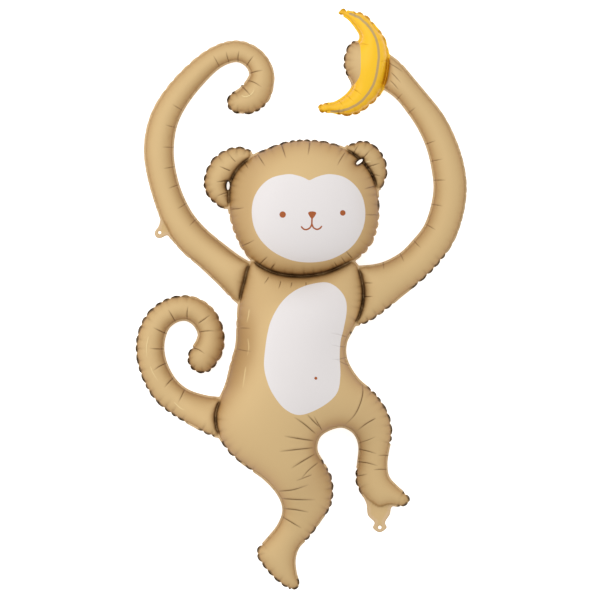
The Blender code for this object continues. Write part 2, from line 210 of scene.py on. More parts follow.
# Chambers that are a tube of foil: (x, y, half width) along the middle, from inside the body to the tip
LEFT_ARM = [
    (262, 291, 25), (246, 283, 22), (230, 271, 18.5), (210, 254, 17), (193, 239.5, 17),
    (178.5, 221, 16.3), (167.5, 196, 15), (160.5, 170, 15), (158.5, 146, 15.3), (163, 121, 14.8),
    (174.5, 98.5, 14), (193, 76, 13), (214.5, 57.5, 11.7), (236, 50.5, 11.3), (253, 57.5, 11.6),
    (261.5, 73, 12.8), (257, 90, 15.5), (248, 98.5, 15.8), (238, 101.5, 12),
]
RIGHT_ARM = [
    (338, 296, 29), (355, 295, 31), (373, 289, 26), (392, 279.5, 20.3), (411, 267, 18.2),
    (426, 252, 18), (439, 234, 17.4), (447, 212, 17.2), (450.5, 188, 17), (447.7, 164.5, 16.7),
    (441, 142, 15.7), (431, 121.5, 15), (418, 103.5, 14), (405, 88, 14), (391, 75, 16.5), (378, 67, 18),
]
TAIL = [
    (236, 420, 19), (218, 417, 20.5), (199, 411, 17.3), (181, 403, 15.5), (166, 391, 15.3),
    (155.5, 374, 15), (150, 355, 14.8), (150.7, 337, 14.6), (158, 320.5, 13.9), (172.5, 310, 13.4),
    (189, 308.5, 13.3), (203, 317, 13.5), (210.5, 332, 13.6), (209, 347, 15.2), (202, 358.5, 15.5),
]

# Tabs of flat foil outside the chambers
EYELET_TAB = [
    (164, 214), (158, 226), (154, 232), (156, 237.5), (161, 238), (167, 235.5), (172, 240), (184, 236),
]
EYELET_CENTRE = (159.4, 232.4)
FILLING_TAB = [
    (364, 494), (366.5, 505), (368, 516), (374.5, 523), (372.8, 528.5), (379.8, 533.3), (387.2, 528.5),
    (385.5, 523), (390.3, 515), (392, 508), (400, 500), (382, 490),
]
VALVE_HOLE_CENTRE = (380.0, 528.0)
FLAT_ROUND_EYELET = 6.5  # squares round a hole's centre in which the tab is quite flat

# Slits beside the ears: (x, y, half length, half width, direction in degrees)
SLITS = [(228, 185.5, 4.2, 1.5, 92), (359.5, 161.8, 4.0, 1.5, -38)]

# How full each chamber is: 1 gives a round tube, and a wide chamber stays flatter than that
FULLNESS = {"head": 0.85, "body": 0.88}
FULLNESS_OF_OTHERS = 0.95

# Places where the back rests on the floor: (x, y, radius) on the pattern sheet
RESTING_PLACES = [
    (304, 205, 45), (296, 345, 30), (282, 420, 38), (165, 178, 66), (250, 82, 33), (450, 190, 55),
    (362, 64, 42), (152, 350, 34), (206, 345, 26), (283, 569, 26), (383, 500, 38),
]

SPLINE_STEP = 1.5  # squares between the points of a drawn line
CAP_STEPS = 12
REACH = 0.05  # beyond this no distance is worked out
HOLE_SIDES = 12
SOLVER_STEPS = 900
SOLVER_TOLERANCE = 1e-5
GRID_EDGE = 8  # empty squares round a chamber or the figure
SPREAD_ROUNDS = 6  # squares by which the share is carried on past a weld
BESIDE_WELD = 0.004  # up to this depth the height follows the distance to the weld
WITHIN_WELD = 0.006  # and over this further depth it passes to the film's own
REST_SHARE = 0.8  # share of a resting place's radius in which the back's lowest point is looked for
REST_SOFTNESS = 0.25
REST_POWER = 2.5
GRID_WIDTH = 0.62  # share of the grid's height

# Printed areas, on the front only
FACE_PRINT = [
    (309.4, 181), (315, 178.5), (323, 175.8), (331, 175), (343, 177.5), (354, 185), (362, 197),
    (365, 213), (362.5, 229), (354, 244), (342, 254), (327, 260.5), (309.7, 262.6), (292, 260.5),
    (275, 253), (262, 241.5), (254.5, 228), (252, 213), (254, 199), (261, 187), (272, 178.5),
    (288, 175), (298, 176.5), (304.5, 178.8),
]
BELLY_PRINT = [
    (325, 282.3), (334, 285.5), (342, 293), (346, 302), (346.2, 313), (343.2, 329), (340.2, 341),
    (339.3, 356), (340, 376), (336.3, 393), (321.5, 406), (300.5, 414), (285, 408), (273, 393),
    (267, 379), (264.3, 365), (265.5, 348), (267.8, 333), (271, 321), (277.3, 308.5), (284.5, 299),
    (292.5, 292.3), (301, 287.5), (312, 284),
]
NOSE_PRINT = [
    (308.6, 212.8), (312, 212), (315.6, 212.8), (316, 214.6), (313.6, 218.2), (312, 219.6),
    (310.4, 218.2), (308.2, 214.6),
]
# Eyes and navel: (x, y, radius)
DOTS = [(282.8, 215.2, 3.2), (342.5, 213.5, 2.8), (315.7, 377.6, 1.5)]
MOUTH_LINES = [
    [
        (311.9, 218.5), (311.8, 222), (311.5, 225.3), (309.6, 228.6), (306.0, 230.2), (303.2, 229.3),
        (301.5, 227.4),
    ],
    [(311.8, 224.4), (313.4, 228.2), (316.8, 229.9), (319.6, 229.0), (321.3, 227.0)],
]
MOUTH_HALF_WIDTH = 0.78
BANANA_LINE = [
    (350, 13.5), (355, 15.5), (361, 19), (370, 28), (376, 39), (378.6, 52), (378, 65), (375, 80),
    (369, 92), (360, 102), (348, 108.5), (337, 110.7), (331.5, 110.9),
]
BANANA_LINE_HALF_WIDTH = 1.2
FIST_EDGE = [(358.0, 40.5), (360.2, 46), (360.8, 60), (360.2, 74), (357, 81), (352.2, 86.6)]
FIST_PRINT = [(355, 37)] + FIST_EDGE + [(345, 95), (335, 85), (335, 40)]

# Calmer stretches of weld: (x, y, radius, how much of the puckers goes, how much of their painted shade goes)
CALM_PLACES = [
    (150, 118, 24, 0.8, 1), (145, 150, 24, 0.85, 1), (148, 182, 24, 0.85, 1), (158, 212, 22, 0.8, 1),
    (167, 92, 24, 0.5, 1), (190, 68, 26, 0.4, 1), (215, 48, 24, 0.4, 1), (238, 40, 24, 0.6, 1),
    (268, 62, 20, 0.8, 1), (275, 84, 16, 0.7, 1), (172, 238, 20, 0.7, 1), (192, 262, 22, 0.5, 1),
    (214, 285, 22, 0.5, 1), (235, 305, 12, 0.5, 1), (400, 60, 18, 0.5, 1), (420, 80, 20, 0.85, 1),
    (440, 104, 22, 0.85, 1), (455, 132, 20, 0.85, 1), (465, 160, 16, 0.8, 0.6), (229, 236, 19, 0.0, 1),
    (245, 262, 14, 0.0, 1), (381, 238, 20, 0.0, 1), (366, 258, 14, 0.0, 1), (238, 312, 9, 0.5, 1),
    (237, 330, 9, 0.5, 1), (235, 347, 9, 0.5, 1), (230, 364, 9, 0.5, 1), (225, 382, 10, 0.5, 1),
    (219, 400, 10, 0.5, 1), (367, 510, 12, 0.6, 1), (466, 184, 15, 0.8, 0.3), (465, 206, 15, 0.8, 0.3),
    (459, 228, 13, 0.75, 0.4), (452, 244, 8, 0.6, 0.6),
]

# Creases in the front foil: points along each, then its half width in squares and its depth in millimetres
CREASES = [
    # head, from the welds inwards
    ([(281, 144), (283.5, 151), (286, 159)], 1.2, 1.1),
    ([(310, 141), (309.2, 148), (308, 156)], 1.2, 1.0),
    ([(257, 154), (261, 160), (265.5, 167)], 1.2, 1.0),
    ([(243.5, 161), (246, 165), (248.5, 169)], 1.2, 0.9),
    ([(345, 153), (341, 159), (337, 166.5)], 1.1, 0.9),
    ([(375, 186), (370, 187.5), (364, 189.5)], 1.1, 0.8),
    ([(378, 214.6), (371, 215), (364.5, 215)], 1.0, 0.8),
    ([(230.5, 209), (237, 208.8), (244.5, 208)], 1.1, 0.9),
    ([(241, 246), (248, 243.5), (255, 240)], 1.1, 0.8),
    ([(259.5, 264.5), (263, 261), (268, 256.5)], 1.2, 1.0),
    ([(270.5, 269.5), (272.5, 267), (275.5, 263.5)], 1.1, 0.9),
    ([(352, 258), (348, 254), (345.5, 251)], 1.1, 0.9),
    ([(346, 263.5), (343, 260), (340.5, 256.5)], 1.0, 0.8),
    ([(338, 267.5), (335.5, 264.5), (333.8, 261.5)], 1.0, 0.8),
    # chest below the chin, and the waist
    ([(281, 280.5), (280, 285), (278.5, 289)], 1.0, 0.8),
    ([(292, 282), (291.5, 285), (290.5, 288)], 1.0, 0.7),
    ([(306, 282), (306, 284.5), (305.8, 287)], 1.0, 0.6),
    ([(269, 276.5), (267, 280), (264, 284)], 1.0, 0.8),
    ([(240, 328), (246, 328), (251, 328.5)], 1.0, 0.5),
    ([(237.5, 349), (245, 350.5), (252, 351)], 1.0, 0.5),
    ([(347, 337), (339, 334.5), (330, 333)], 1.1, 0.7),
    ([(346, 347), (338, 346), (330, 344.5)], 1.0, 0.6),
    ([(347, 357), (338, 359), (331, 359)], 1.0, 0.6), ([(349, 366), (341, 362), (335, 358)], 1.0, 0.5),
    # hip and thighs, a fan round the arch between the legs
    ([(319, 426), (313, 420), (307, 413.5)], 1.4, 1.3),
    ([(315.5, 433), (304, 423), (294, 416)], 1.4, 1.5),
    ([(313.5, 440), (298, 437.5), (284, 435)], 1.5, 1.5),
    ([(313, 447), (297, 448.5), (279, 450.5)], 1.5, 1.2),
    ([(314.5, 453.5), (303, 460), (291, 467.5)], 1.5, 1.6),
    ([(318, 462), (309, 469), (301, 478)], 1.3, 0.9),
    ([(322, 430), (317.5, 422), (313.5, 415)], 1.2, 1.1),
    ([(361.6, 384), (362.5, 392), (360, 403), (354, 415), (344, 425)], 1.4, 1.1),
    ([(375.6, 418), (366, 423.5), (357, 430.5)], 1.4, 1.2),
    ([(357.5, 449), (367, 451), (377, 454)], 1.2, 1.0),
    ([(359, 443), (368, 440), (376, 436.5)], 1.0, 0.7),
    ([(391, 456), (384, 455.5), (378, 455.5)], 1.1, 0.9),
    ([(357, 462), (367, 463), (378, 466)], 1.2, 1.1),
    ([(387, 470), (380, 469.5), (373, 470)], 1.1, 0.9),
    ([(356.5, 476), (362, 475.5), (368, 474)], 1.0, 0.7),
    # left knee and shin
    ([(281.5, 498), (297, 499), (316, 499.5)], 1.4, 1.3),
    ([(284, 508.5), (296, 509.5), (309, 512)], 1.4, 1.2),
    ([(282.5, 517), (291, 522), (302, 528.5)], 1.4, 1.3),
    ([(279, 490.5), (293, 489), (309, 484)], 1.4, 1.0),
    ([(312, 474), (304, 477), (296, 480)], 1.2, 0.8),
    # tail, round the inside of its loop
    ([(187, 319), (187, 313), (188, 306)], 1.1, 0.9),
    ([(175, 321.5), (172, 316), (168, 309.5)], 1.1, 1.0),
    ([(166.5, 334), (160, 331), (153, 327.5)], 1.1, 1.0),
    ([(164, 349), (157, 349), (149, 348.5)], 1.1, 0.9),
    ([(166.5, 363), (160, 366), (153, 371)], 1.1, 1.0),
    ([(173.5, 377.5), (169, 382), (164, 388)], 1.1, 1.0),
    ([(184.5, 389.5), (181.5, 396), (178, 403)], 1.1, 0.9),
    ([(198, 323.5), (204, 319.5), (210, 315)], 1.1, 1.1),
    ([(199, 332), (207, 331), (215, 331)], 1.1, 0.9), ([(193, 348), (199, 350), (205, 354)], 1.1, 0.9),
    # left arm's curl and the arm
    ([(238, 62), (238, 56), (239, 50)], 1.1, 0.9), ([(229, 62.5), (227, 56), (226, 51)], 1.1, 0.8),
    ([(246, 66), (250, 60), (254, 55)], 1.1, 1.0), ([(249, 73), (256, 71), (263, 70)], 1.1, 1.0),
    ([(247, 80), (254, 82), (262, 87)], 1.1, 0.9), ([(241, 85), (246, 90), (251, 96)], 1.1, 0.9),
    ([(219, 66), (216, 60), (213, 55)], 1.0, 0.7), ([(175.5, 127), (170, 126), (165, 124.5)], 1.0, 0.6),
    ([(174.5, 147), (168, 147), (162, 147)], 1.0, 0.6),
    ([(175, 166), (169, 167.5), (163, 168.5)], 1.0, 0.6),
    ([(179, 184), (173, 186.5), (168, 188.5)], 1.0, 0.6),
    ([(187, 202), (182, 206), (177, 209)], 1.0, 0.6), ([(197, 218), (193, 222), (189, 226)], 1.0, 0.6),
    ([(182, 110), (177, 107), (172, 104)], 1.0, 0.6),
    # right arm
    ([(425, 144), (430, 142.5), (436, 140.5)], 1.0, 0.7),
    ([(431, 161), (437, 160), (443, 159)], 1.0, 0.7), ([(433, 180), (439, 180), (446, 180)], 1.0, 0.7),
    ([(431.5, 204), (437, 205), (443, 206)], 1.0, 0.7),
    ([(426, 224), (431, 227), (436, 230)], 1.0, 0.7), ([(414, 240), (417, 244), (421, 248)], 1.0, 0.7),
    ([(400, 252.5), (402, 257), (404, 262)], 1.0, 0.7),
    ([(383, 259.5), (383.5, 265), (384, 270)], 1.0, 0.6),
    ([(363.5, 283), (368, 283), (373, 283)], 1.1, 0.9),
    ([(363, 296.6), (368, 296.6), (373, 296.6)], 1.1, 0.9),
    # raised wrinkles, with a painted highlight along each
    ([(241, 95), (245, 96.5), (250, 95), (253.5, 91), (254, 87.5)], 1.2, -1.0),
    ([(248, 338), (249, 347), (247.5, 356)], 1.0, -0.5),
    ([(246, 366), (244.5, 377), (243, 388)], 1.0, -0.5),
    ([(148.5, 336), (146.5, 347), (147, 358)], 1.0, -0.6),
    ([(249.5, 309), (248.5, 316), (247, 323)], 1.0, -0.6),
    ([(364.5, 162.5), (367.5, 162), (371.5, 161.5)], 1.6, -0.9),
    ([(150, 366), (153, 373), (158, 381)], 1.0, -0.5),
    ([(174, 402), (179, 407), (185, 410.5)], 1.0, -0.6),
    # right arm near the hand
    ([(406, 115), (411, 111), (416, 107)], 1.0, 0.7), ([(395, 102), (399, 97), (403, 93)], 1.0, 0.7),
    # ears
    ([(231, 171), (226, 169), (219, 166)], 1.1, 1.1),
    ([(229.5, 180), (223, 181), (216, 182)], 1.1, 1.0),
    ([(228, 192), (222, 194), (217, 196)], 1.0, 0.8), ([(236, 162), (232, 158), (229, 154)], 1.0, 0.8),
    ([(361, 160), (366, 155), (370, 150)], 1.1, 1.0), ([(368, 167), (374, 165), (380, 163)], 1.1, 1.0),
    ([(371, 175), (376, 175), (381, 176)], 1.0, 0.8), ([(353, 154), (356, 149), (359, 145)], 1.0, 0.8),
    # banana and fist
    ([(359.5, 44), (365, 44), (370, 45)], 1.0, 0.7), ([(353, 85), (350, 80), (348, 75)], 1.1, 1.0),
    ([(352, 88), (357, 91), (362, 95)], 1.1, 0.8), ([(346, 94), (350, 98), (354, 102)], 1.0, 0.7),
    ([(351, 81), (346, 79), (342.5, 76)], 1.0, 0.7), ([(338, 99.5), (341, 103), (344, 107)], 1.0, 0.6),
    ([(388, 60), (383, 61), (380, 62)], 1.0, 0.5), ([(391, 72), (396, 77), (401, 83)], 1.0, 0.8),
    ([(390, 80), (395, 85), (399, 90)], 1.0, 0.7), ([(389, 62), (396, 67), (403, 72)], 1.0, 0.7),
]


def on_sheet(points):
    """Points of the pattern sheet, in metres, with x to the right and y up the figure."""
    points = np.array(points, float)
    return np.stack([points[:, 0] - SHEET_MIDDLE[0], SHEET_MIDDLE[1] - points[:, 1]], axis=1) * SQUARE


def spline(points, closed):
    """A smooth line through the points, with about one point a square."""
    points = np.array(points, float)
    if not closed:
        points = np.vstack([2 * points[0] - points[1], points, 2 * points[-1] - points[-2]])
    count = len(points)
    spans = range(count) if closed else range(1, count - 2)
    line = []
    for k in spans:
        before, start, end, after = (points[(k + i) % count] for i in (-1, 0, 1, 2))
        steps = max(2, math.ceil(np.linalg.norm((end - start)[:2]) / SPLINE_STEP))
        t = (np.arange(steps) / steps)[:, None]
        line.append(
            start
            + 0.5 * (end - before) * t
            + (before - 2.5 * start + 2 * end - 0.5 * after) * t**2
            + 0.5 * (3 * start - before - 3 * end + after) * t**3
        )
    if not closed:
        line.append(points[-2:-1])
    return np.vstack(line)


def drawn(points):
    """A closed outline, in metres."""
    return on_sheet(spline(points, closed=True))


def directions(line):
    """The unit directions along an open line and to its left, at each point."""
    along = np.gradient(line, axis=0)
    along /= np.linalg.norm(along, axis=1)[:, None]
    return along, np.stack([-along[:, 1], along[:, 0]], axis=1)


def tube(stations):
    """The closed outline of a tube of foil with a round tip, in metres."""
    line = spline(stations, closed=False)
    centre, half = on_sheet(line[:, :2]), line[:, 2:] * SQUARE
    along, side = directions(centre)
    turn = np.linspace(math.pi / 2, -math.pi / 2, CAP_STEPS)[1:-1, None]
    cap = centre[-1] + half[-1] * (np.sin(turn) * side[-1] + np.cos(turn) * along[-1])
    return np.vstack([centre + half * side, cap, (centre - half * side)[::-1]])


def smooth(share):
    """A share from 0 to 1, eased at both ends."""
    return share * share * (3 - 2 * share)


def evenly(loop, step):
    """A closed loop again, with points about step apart."""
    closed = np.vstack([loop, loop[:1]])
    along = np.concatenate([[0], np.cumsum(np.linalg.norm(np.diff(closed, axis=0), axis=1))])
    at = np.linspace(0, along[-1], max(8, round(along[-1] / step)), endpoint=False)
    return np.stack([np.interp(at, along, closed[:, k]) for k in (0, 1)], axis=1)


def signed_distance(points, loop):
    """Distance from each point to a closed loop, negative inside it, and only a large number far from it."""
    near = ((points > loop.min(axis=0) - REACH) & (points < loop.max(axis=0) + REACH)).all(axis=1)
    distance = np.full(len(points), REACH)
    distance[near] = distance_to_loop(points[near], loop)
    return distance


def distance_to_loop(points, loop):
    """The same for points near the loop."""
    start, end = loop, np.roll(loop, -1, axis=0)
    x, y = points.T
    nearest, inside = np.full(len(points), np.inf), np.zeros(len(points), bool)
    for a, b in zip(start, end):
        span = b - a
        share = np.clip(((points - a) @ span) / max(span @ span, 1e-18), 0, 1)
        off = points - a - share[:, None] * span
        nearest = np.minimum(nearest, (off * off).sum(axis=1))
        if a[1] != b[1]:
            crossing = (a[1] > y) != (b[1] > y)
            inside ^= crossing & (x < a[0] + (y - a[1]) * span[0] / span[1])
    return np.where(inside, -1, 1) * np.sqrt(nearest)


def chamber_outlines():
    """Each chamber's outline. A chamber is cut short by those before it."""
    return {
        "head": drawn(HEAD),
        "banana": drawn(BANANA_AND_FIST),
        "body": drawn(BODY_AND_LEGS),
        "left_ear": drawn(LEFT_EAR),
        "right_ear": drawn(RIGHT_EAR),
        "left_arm": tube(LEFT_ARM),
        "right_arm": tube(RIGHT_ARM),
        "tail": tube(TAIL),
    }


def slit(x, y, half_length, half_width, direction):
    """The closed outline of a slit, in metres."""
    turn = np.linspace(0, 2 * math.pi, HOLE_SIDES, endpoint=False)
    along, across = half_length * np.cos(turn), half_width * np.sin(turn)
    c, s = math.cos(math.radians(direction)), math.sin(math.radians(direction))
    return on_sheet(np.stack([x + along * c - across * s, y + along * s + across * c], axis=1))


def punched(centre, radius):
    """The closed outline of a punched hole, in metres."""
    turn = np.linspace(0, 2 * math.pi, HOLE_SIDES, endpoint=False)
    return on_sheet([centre]) + radius * np.stack([np.cos(turn), np.sin(turn)], axis=1)


class Pattern:
    """The flat pattern: what is foil, and which of it is inflated."""

    def __init__(self):
        self.chambers = chamber_outlines()
        self.tabs = [drawn(EYELET_TAB), drawn(FILLING_TAB)]
        self.slits = [slit(*numbers) for numbers in SLITS]
        eyelets = [punched(EYELET_CENTRE, EYELET_RADIUS), punched(VALVE_HOLE_CENTRE, VALVE_HOLE_RADIUS)]
        self.holes = self.slits + eyelets

    def foil(self, points):
        """Negative on the foil, tabs and margins included."""
        loops = [*self.chambers.values(), *self.tabs]
        return np.minimum.reduce([signed_distance(points, loop) for loop in loops])

    def in_hole(self, points):
        """Negative inside a hole or a slit."""
        return np.minimum.reduce([signed_distance(points, loop) for loop in self.holes])

    def inflated(self, points):
        """Negative where a chamber is inflated, for each chamber."""
        slits = np.minimum.reduce([signed_distance(points, loop) for loop in self.slits])
        found, before = {}, np.full(len(points), REACH)
        for name, loop in self.chambers.items():
            inside = np.maximum(signed_distance(points, loop) + SEAM_MARGIN, SLIT_MARGIN - slits)
            found[name] = np.maximum(inside, PARTITION_WELD - before)
            before = np.minimum(before, inside)
        return found


class Grid:
    """A grid over the whole figure, with values read between its points."""

    def __init__(self, step):
        reach = HEIGHT / 2 + GRID_EDGE * step
        self.step = step
        self.x = np.arange(-GRID_WIDTH * reach, GRID_WIDTH * reach, step)
        self.y = np.arange(-reach, reach, step)
        self.shape = (len(self.y), len(self.x))
        self.points = np.stack(np.meshgrid(self.x, self.y), axis=-1).reshape(-1, 2)

    def read(self, values, points):
        """The grid's values at other points."""
        values = values.reshape(self.shape)
        place = np.clip((points - (self.x[0], self.y[0])) / self.step, 0, np.array(self.shape)[::-1] - 1.001)
        column, row = np.floor(place).astype(int).T
        right, up = (place - np.floor(place)).T
        low = values[row, column] * (1 - right) + values[row, column + 1] * right
        high = values[row + 1, column] * (1 - right) + values[row + 1, column + 1] * right
        return low * (1 - up) + high * up

    def contours(self, values, level):
        """Closed lines on which the values reach the level, the lower side on their left."""
        values = values.reshape(self.shape) - level
        low = values < 0
        mixed = low[:-1, :-1].astype(int) + low[:-1, 1:] + low[1:, 1:] + low[1:, :-1]
        following = {}
        for row, column in zip(*np.nonzero((mixed > 0) & (mixed < 4))):
            corners = [(row, column), (row, column + 1), (row + 1, column + 1), (row + 1, column)]
            sides = [(corners[k], corners[(k + 1) % 4]) for k in range(4)]
            leaving = [side for side in sides if low[side[0]] and not low[side[1]]]
            entering = [side for side in sides if not low[side[0]] and low[side[1]]]
            for end, start in zip(leaving, entering):
                following[tuple(sorted(end))] = tuple(sorted(start))
        lines = []
        while following:
            first = side = next(iter(following))
            line = []
            while side in following:
                (a, b), side = side, following.pop(side)
                share = values[a] / (values[a] - values[b])
                row, column = (a[k] + share * (b[k] - a[k]) for k in (0, 1))
                line.append((self.x[0] + column * self.step, self.y[0] + row * self.step))
            if side == first and len(line) > 8:
                lines.append(np.array(line))
        return lines


def inflate(grid, inside):
    """Half the inflated height squared, over the distance to the weld, on the grid.

    The foil stands up like a film that the air lifts off the plane of the welds. Its height squared is
    worked out from the film's equation, and is kept as a share of the distance to the weld, which changes
    smoothly up to it.
    """
    inside = inside.reshape(grid.shape)
    rows, columns = np.nonzero(inside < 0)
    low_row, low_column = rows.min() - GRID_EDGE, columns.min() - GRID_EDGE
    part = np.s_[low_row : rows.max() + GRID_EDGE + 1, low_column : columns.max() + GRID_EDGE + 1]
    depth = -inside[part]
    film = depth > 0.2 * grid.step

    def pull(u):
        """The film equation's sum over each square and its neighbours."""
        out = 4 * u
        out[1:] -= u[:-1]
        out[:-1] -= u[1:]
        out[:, 1:] -= u[:, :-1]
        out[:, :-1] -= u[:, 1:]
        return np.where(film, out, 0)

    lift = np.where(film, grid.step**2, 0.0)
    u, rest = np.zeros(film.shape), lift.copy()
    heading, size = rest.copy(), (rest * rest).sum()
    target = size * SOLVER_TOLERANCE**2
    for _ in range(SOLVER_STEPS):
        if size <= target:
            break
        pulled = pull(heading)
        step = size / (heading * pulled).sum()
        u += step * heading
        rest -= step * pulled
        size, before = (rest * rest).sum(), size
        heading = rest + size / before * heading
    share = np.where(film, 2 * u / np.maximum(depth, 0.6 * grid.step), 0)
    known = film.astype(float)
    for _ in range(SPREAD_ROUNDS):
        around_share, around = np.zeros(film.shape), np.zeros(film.shape)
        for shift in ((1, 0), (-1, 0), (0, 1), (0, -1)):
            around_share += np.roll(share * known, shift, (0, 1))
            around += np.roll(known, shift, (0, 1))
        spread = (known == 0) & (around > 0)
        share[spread] = around_share[spread] / around[spread]
        known[spread] = 1
    whole, film_height = np.zeros(grid.shape), np.zeros(grid.shape)
    whole[part], film_height[part] = share, 2 * u
    return whole, film_height


class Envelope:
    """The inflated envelope: the height of its welds over the floor, and of the foil over the welds."""

    def __init__(self, step):
        self.pattern = Pattern()
        self.grid = Grid(step)
        self.fields = self.pattern.inflated(self.grid.points)
        films = {name: inflate(self.grid, inside) for name, inside in self.fields.items()}
        self.share = {name: film[0] for name, film in films.items()}
        self.squared = {name: film[1] for name, film in films.items()}
        self.rests = []
        for x, y, radius in RESTING_PLACES:
            centre = on_sheet([(x, y)])[0]
            around = np.linalg.norm(self.grid.points - centre, axis=1) < REST_SHARE * radius * SQUARE
            height = self.half_height(self.grid.points[around]).max() - SETTLE
            self.rests.append((centre, radius * SQUARE, height))

    def lift(self, name, points, depth):
        """Height of a chamber's foil over its welds, at a depth inside them."""
        beside = np.maximum(self.grid.read(self.share[name], points), 0) * depth
        within = self.grid.read(self.squared[name], points)
        blend = np.clip((depth - BESIDE_WELD) / WITHIN_WELD, 0, 1)
        fullness = FULLNESS.get(name, FULLNESS_OF_OTHERS)
        return fullness * np.sqrt(np.maximum(beside + (within - beside) * blend, 0))

    def half_height(self, points):
        """Height of the upper foil over the welds."""
        height = np.full(len(points), WELDED_THICKNESS / 2)
        for name, field in self.fields.items():
            inside = self.grid.read(field, points)
            height += self.lift(name, points, np.maximum(-inside, 0))
        return height

    def weld_height(self, points):
        """Height of the welds over the floor: each part sinks until it rests there."""
        for tab in on_sheet([EYELET_CENTRE, VALVE_HOLE_CENTRE]):
            away = np.linalg.norm(points - tab, axis=1) / (FLAT_ROUND_EYELET * SQUARE)
            points = tab + (points - tab) * smooth(np.clip(away - 1, 0, 1))[:, None]
        total, weights = np.zeros(len(points)), np.zeros(len(points))
        for centre, radius, height in self.rests:
            weight = (((points - centre) ** 2).sum(axis=1) / radius**2 + REST_SOFTNESS) ** -REST_POWER
            total += weight * height
            weights += weight
        return total / weights


def polyline(points, step):
    """A smooth open line through points of the pattern sheet, in metres. The step is in squares."""
    line = on_sheet(spline(points, closed=False))
    along = np.concatenate([[0], np.cumsum(np.linalg.norm(np.diff(line, axis=0), axis=1))])
    at = np.linspace(0, along[-1], max(3, round(along[-1] / (step * SQUARE))) + 1)
    return np.stack([np.interp(at, along, line[:, k]) for k in (0, 1)], axis=1)


def stroke(points, half_width):
    """The closed outline of a drawn line with round ends, in metres."""
    line = polyline(points, STROKE_STEP)
    along, side = directions(line)
    radius = half_width * SQUARE
    turn = np.linspace(math.pi / 2, -math.pi / 2, STROKE_END_STEPS)[1:-1, None]
    end = line[-1] + radius * (np.sin(turn) * side[-1] + np.cos(turn) * along[-1])
    start = line[0] - radius * (np.sin(turn) * side[0] + np.cos(turn) * along[0])
    return np.vstack([line + radius * side, end, (line - radius * side)[::-1], start])


def dot(x, y, radius):
    """The closed outline of a printed dot, in metres."""
    turn = np.linspace(0, 2 * math.pi, DOT_SIDES, endpoint=False)
    return on_sheet(np.stack([x + radius * np.cos(turn), y + radius * np.sin(turn)], axis=1))


def calm(points):
    """How much of the puckers, and how much of their painted shade, is left at each point."""
    folds, dark = np.ones(len(points)), np.ones(len(points))
    for x, y, radius, folds_gone, dark_gone in CALM_PLACES:
        away = np.linalg.norm(points - on_sheet([(x, y)])[0], axis=1) / (radius * SQUARE)
        near = np.clip(1 + CALM_FADE - away, 0, CALM_FADE) / CALM_FADE
        folds, dark = np.minimum(folds, 1 - folds_gone * near), np.minimum(dark, 1 - dark_gone * near)
    return folds, dark


def tree_of(points):
    """A search tree over flat points."""
    tree = kdtree.KDTree(len(points))
    for k, (x, y) in enumerate(points):
        tree.insert((x, y, 0), k)
    tree.balance()
    return tree


class Seam:
    """A weld's line with the puckers that gather along it where it bulges outwards."""

    def __init__(self, loop, seed):
        self.points = evenly(loop, SEAM_STEP)
        folds, self.dark = calm(self.points)
        self.convex = self.bulge() * folds
        self.right, self.up = self.outward().T
        self.place_puckers(random.Random(seed))

    def bulge(self):
        """How ready the foil is to pucker: where the weld bulges outwards, and less at a tight bend."""
        ahead = np.roll(self.points, -1, axis=0) - self.points
        heading = np.arctan2(ahead[:, 1], ahead[:, 0])
        turn = (np.diff(np.append(heading, heading[0])) + math.pi) % (2 * math.pi) - math.pi
        reach = int(BEND_REACH / SEAM_STEP)
        window = np.hanning(2 * reach + 1)
        window /= window.sum()
        around = np.arange(-reach, reach + 1)
        bend = sum(w * np.roll(turn, -k) for w, k in zip(window, around)) / SEAM_STEP
        convex = np.clip((bend - NO_PUCKERS_BEND) / (FULL_PUCKERS_BEND - NO_PUCKERS_BEND), 0, 1)
        return smooth(convex) * np.clip(1.5 - bend / TIGHT_BEND, LEAST_AT_TIP, 1)

    def place_puckers(self, rng):
        """Puckers at uneven distances. Each point keeps the distance to the nearer one and its size."""
        where = np.arange(len(self.points)) * SEAM_STEP
        length = len(self.points) * SEAM_STEP
        place, puckers = FIRST_PUCKER * PUCKER_SPACING, []
        while place < length:
            puckers.append((place, rng.uniform(*PUCKER_STRENGTHS), rng.uniform(*PUCKER_RUNS)))
            place += PUCKER_SPACING * rng.uniform(*PUCKER_GAPS)
        at, strength, run = np.array(puckers).T
        after = np.searchsorted(at, where)
        last, following = (after - 1) % len(at), after % len(at)
        gap_before = np.where(after == 0, where + length - at[last], where - at[last])
        gap_after = np.where(after == len(at), at[0] + length - where, at[following] - where)
        nearer = np.where(gap_before < gap_after, last, following)
        self.strength, self.run = strength[nearer], run[nearer]
        self.near = np.minimum(gap_before, gap_after)
        self.middle = self.near / np.maximum((gap_before + gap_after) / 2, 1e-6)

    def outward(self):
        """The direction away from the chamber, at each point."""
        ahead, behind = np.roll(self.points, -1, axis=0), np.roll(self.points, 1, axis=0)
        along = ahead - behind
        return np.stack([along[:, 1], -along[:, 0]], axis=1) / np.linalg.norm(along, axis=1)[:, None]

    def scalloped(self):
        """The outline, drawn in at each pucker and bulging a little between them."""
        notch = np.exp(-self.near / NOTCH_WIDTH) * self.strength
        drawn_in = SCALLOP_INSET * (1 - self.middle) ** SCALLOP_ROUNDNESS + NOTCH_DEPTH * notch
        shift = -OUTLINE_INSET - self.convex * drawn_in
        return self.points + self.outward() * shift[:, None]


